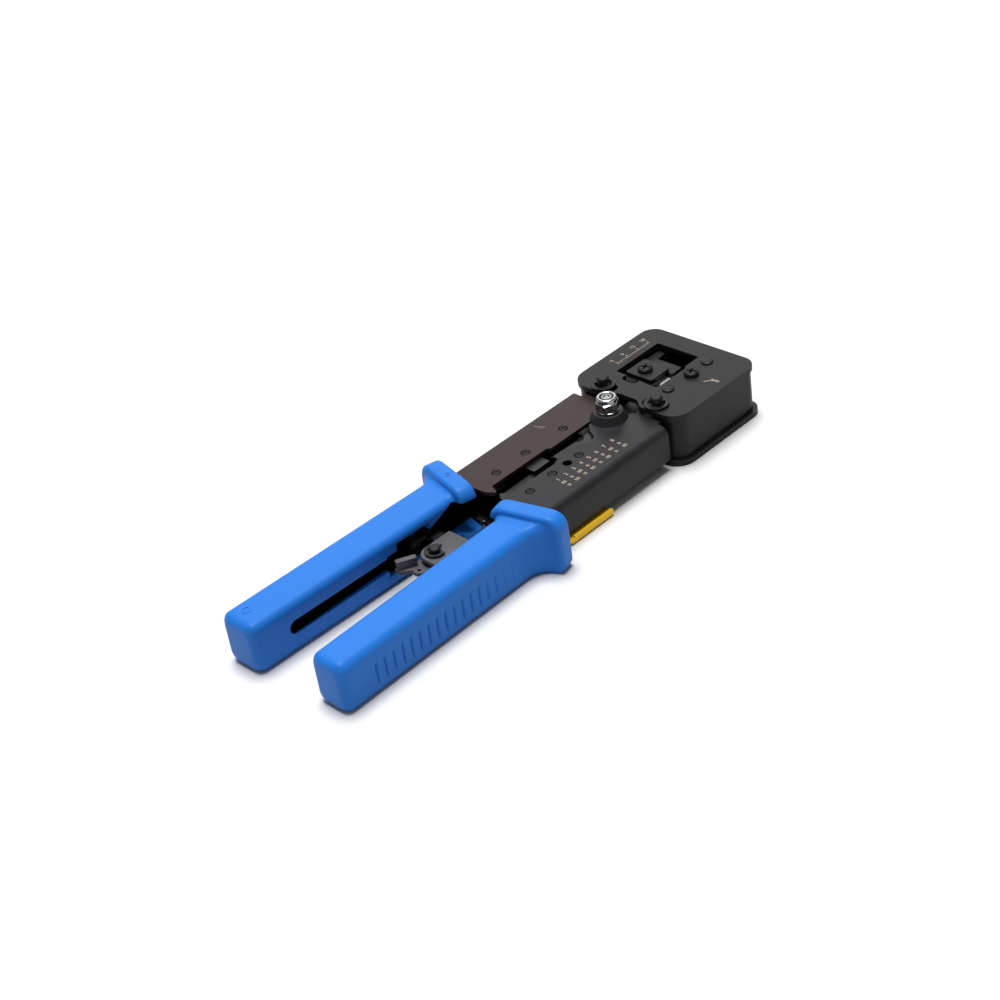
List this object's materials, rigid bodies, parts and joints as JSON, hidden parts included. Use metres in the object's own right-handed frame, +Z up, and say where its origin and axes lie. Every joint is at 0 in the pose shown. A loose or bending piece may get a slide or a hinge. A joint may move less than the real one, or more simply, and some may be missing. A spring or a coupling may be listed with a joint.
{
  "type": "crimping tool",
  "caption": "Ratchet crimping tool for modular network plugs: steel head with plug socket and blade, two folded steel handles in blue grips, cable cutter and stripper, lock lever.",
  "frame": {"origin": "midway between the two head pins, on the back plate's outer face, which the tool rests on", "axes": "+Y from the grips to the head, +X to the right handle, +Z up out of the resting face"},
  "size_m": [0.0678, 0.2193, 0.0272],
  "materials": {
    "black_oxide": "satin",
    "handle_black": "satin",
    "brown_oxide": "satin",
    "plain_steel": "satin",
    "ground_steel": "polished",
    "zinc_chrome": "polished",
    "bronze": "satin",
    "blue_grip": "satin",
    "yellow_lever": "satin"
  },
  "bodies": {
    "head": {"back_plate": "black_oxide", "front_plate": "black_oxide", "head_band": "black_oxide", "die_block": "plain_steel", "head_rivet_1": "black_oxide", "head_rivet_2": "black_oxide", "head_screw": "black_oxide", "spacer_tube_1": "plain_steel", "spacer_tube_2": "plain_steel", "spacer_tube_3": "plain_steel"},
    "ram": {"ram_slide": "plain_steel", "crimp_punch": "plain_steel", "trim_blade": "ground_steel", "blade_carrier": "black_oxide", "blade_clamp_plate": "black_oxide", "clamp_screw": "black_oxide", "main_bolt": "plain_steel", "lock_nut": "zinc_chrome", "nut_washer": "zinc_chrome", "pivot_bush": "bronze", "return_spring": "plain_steel"},
    "left_handle": {"left_handle_channel": "brown_oxide", "left_grip": "blue_grip", "left_head_pin": "black_oxide", "left_pin_clip": "black_oxide", "cutter_blade": "ground_steel", "stripping_anvil": "ground_steel", "left_blade_rivet_1": "black_oxide", "left_blade_rivet_2": "black_oxide", "left_blade_rivet_3": "black_oxide", "ratchet_rack": "black_oxide", "rack_post_1": "plain_steel", "rack_post_2": "plain_steel", "lock_catch_pin": "plain_steel"},
    "right_handle": {"right_handle_channel": "handle_black", "right_grip": "blue_grip", "right_head_pin": "black_oxide", "right_pin_clip": "black_oxide", "stripper_blade": "ground_steel", "cutter_anvil": "ground_steel", "right_blade_rivet_1": "black_oxide", "right_blade_rivet_2": "black_oxide", "right_blade_rivet_3": "black_oxide", "pawl_bracket": "black_oxide", "bracket_rivet_1": "black_oxide", "bracket_rivet_2": "black_oxide", "pawl_pin": "black_oxide", "pawl_pin_clip": "black_oxide", "spring_anchor_pin": "plain_steel", "pawl_spring": "plain_steel", "lock_lever_rivet": "plain_steel"},
    "pawl": {"ratchet_pawl": "black_oxide"},
    "lock_lever": {"lock_lever": "yellow_lever"}
  },
  "joints": [
    {"name": "ram_stroke", "type": "slide", "parent": "head", "child": "ram", "axis": [0, -1, 0], "range_m": [0, 0.0028]},
    {"name": "left_handle_hinge", "type": "hinge", "parent": "ram", "child": "left_handle", "pos_m": [0, -0.01224, 0], "axis": [0, 0, -1], "range_deg": [0, 13.5]},
    {"name": "right_handle_hinge", "type": "hinge", "parent": "ram", "child": "right_handle", "pos_m": [0, -0.01224, 0], "axis": [0, 0, 1], "range_deg": [0, 13.6]},
    {"name": "pawl_hinge", "type": "hinge", "parent": "right_handle", "child": "pawl", "pos_m": [0, -0.1037, 0], "axis": [0, 0, 1], "range_deg": [-12, 12], "stiffness_Nm_per_rad": 0.05},
    {"name": "lock_lever_hinge", "type": "hinge", "parent": "right_handle", "child": "lock_lever", "pos_m": [0.017, -0.066, 0], "axis": [0, 0, -1], "range_deg": [0, 15]}
  ],
  "couplings": [
    {"joint": "right_handle_hinge", "follows": "left_handle_hinge", "ratio": 1},
    {"joint": "ram_stroke", "follows": "left_handle_hinge", "m_per_rad": 0.01142}
  ]
}
